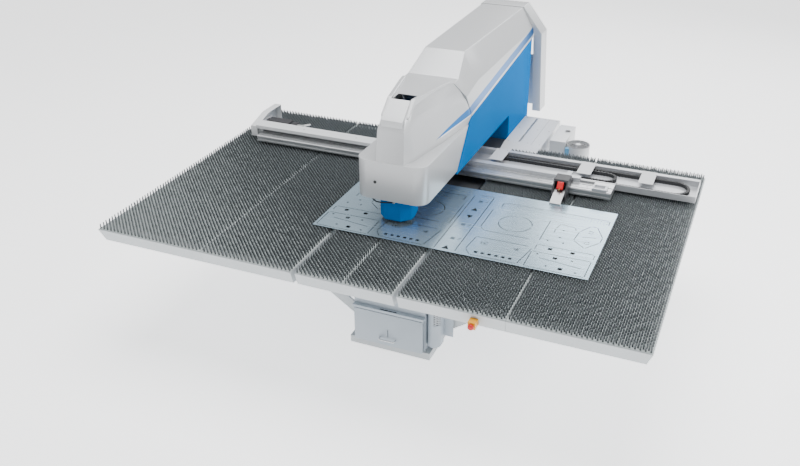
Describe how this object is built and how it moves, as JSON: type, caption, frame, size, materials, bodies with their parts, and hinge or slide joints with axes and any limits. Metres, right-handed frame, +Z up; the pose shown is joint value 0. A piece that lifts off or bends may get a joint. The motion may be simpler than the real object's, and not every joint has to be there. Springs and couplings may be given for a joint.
{
  "type": "cnc turret punch press",
  "caption": "Single-head CNC sheet-metal punch press with brush tables, a clamp bridge, an overhanging arm and a slug drawer.",
  "frame": {"origin": "on the floor, straight below the punch axis", "axes": "+X to the operator's right along the bridge, +Y to the rear of the machine, +Z up"},
  "size_m": [3.96, 3.774, 2.063],
  "materials": {
    "silver_paint": "metallic satin",
    "blue_paint": "gloss",
    "grey_paint": "fine-textured satin",
    "dark_paint": "satin",
    "light_blue_paint": "satin",
    "bristles": "matte",
    "steel": "machined",
    "sheet_steel": "bright rolled",
    "aluminium": "anodised",
    "black_plastic": "matte",
    "white_plastic": "satin",
    "rubber": "matte",
    "red_plastic": "gloss",
    "yellow_plastic": "gloss"
  },
  "bodies": {
    "machine": {"table_tray_left_outer": "grey_paint", "table_tray_left_inner": "grey_paint", "table_tray_centre": "grey_paint", "table_tray_right_inner": "grey_paint", "table_tray_right_outer": "grey_paint", "brushes_left": "bristles", "brushes_centre": "bristles", "brushes_right": "bristles", "throat_plate": "dark_paint", "table_beams_left": "grey_paint", "table_beams_right": "grey_paint", "table_brackets": "grey_paint", "centre_table_arms": "grey_paint", "c_frame": "blue_paint", "base_plate": "grey_paint", "rear_cover": "silver_paint", "arm_cover": "silver_paint", "head_cover": "silver_paint", "punch_cylinder": "steel", "tool_guard": "blue_paint", "index_belts": "rubber", "index_motors": "dark_paint", "head_hose": "rubber", "y_rails": "steel", "y_screw": "steel", "drawer_housing": "grey_paint", "corner_column": "grey_paint", "vent_guard": "dark_paint", "side_panels": "grey_paint", "hydraulic_tank": "grey_paint", "valve_box": "silver_paint", "pump_motor": "light_blue_paint", "fan_grille": "black_plastic", "rear_decks": "silver_paint", "estop_box": "yellow_plastic"},
    "bridge": {"y_saddles": "steel", "bridge_beam": "aluminium", "bridge_cover": "silver_paint", "bridge_end_cap": "silver_paint", "x_drive_plate": "steel", "x_drive_motor": "black_plastic", "bridge_hose": "white_plastic", "cable_tray": "aluminium", "tray_plates": "silver_paint", "drag_chain_long": "black_plastic", "drag_chain_short": "black_plastic", "x_rail": "steel", "rail_stop": "aluminium"},
    "x_carriage": {"carriage_bar": "aluminium", "clamp_bodies": "dark_paint", "work_sheet": "sheet_steel"},
    "left_jaw": {"clamp_jaw_left": "steel"},
    "right_jaw": {"clamp_jaw_right": "steel"},
    "ram": {"ram": "steel"},
    "tool_head": {"tool_head": "steel"},
    "die_head": {"die_head": "steel"},
    "drawer": {"slug_drawer": "grey_paint", "drawer_handle": "steel"},
    "pump_fan": {"pump_fan": "black_plastic"},
    "estop_button": {"estop_button": "red_plastic"}
  },
  "joints": [
    {"name": "y_axis", "type": "slide", "parent": "machine", "child": "bridge", "axis": [0, 1, 0], "range_m": [-0.48, 0.33]},
    {"name": "x_axis", "type": "slide", "parent": "bridge", "child": "x_carriage", "axis": [1, 0, 0], "range_m": [-1.35, 0.11], "deforming": ["drag_chain_long", "drag_chain_short"]},
    {"name": "left_jaw_hinge", "type": "hinge", "parent": "x_carriage", "child": "left_jaw", "pos_m": [-0.064, 0.775, 1.11], "axis": [-1, 0, 0], "range_deg": [0, 12]},
    {"name": "right_jaw_hinge", "type": "hinge", "parent": "x_carriage", "child": "right_jaw", "pos_m": [1, 0.775, 1.11], "axis": [-1, 0, 0], "range_deg": [0, 12]},
    {"name": "ram_stroke", "type": "slide", "parent": "machine", "child": "ram", "axis": [0, 0, 1], "range_m": [-0.023, 0]},
    {"name": "tool_index", "type": "hinge", "parent": "machine", "child": "tool_head", "pos_m": [0, 0, 1.2], "axis": [0, 0, 1], "continuous": true},
    {"name": "die_index", "type": "hinge", "parent": "machine", "child": "die_head", "pos_m": [0, 0, 0.95], "axis": [0, 0, 1], "continuous": true},
    {"name": "drawer_slide", "type": "slide", "parent": "machine", "child": "drawer", "axis": [0, -1, 0], "range_m": [0, 0.42]},
    {"name": "fan_spin", "type": "hinge", "parent": "machine", "child": "pump_fan", "pos_m": [0.905, 1.772, 1], "axis": [0, 0, 1], "continuous": true},
    {"name": "estop_press", "type": "slide", "parent": "machine", "child": "estop_button", "axis": [0, 1, 0], "range_m": [0, 0.006], "stiffness_N_per_m": 800, "springref_m": -0.003}
  ],
  "couplings": [
    {"joint": "die_index", "follows": "tool_index", "ratio": 1}
  ]
}
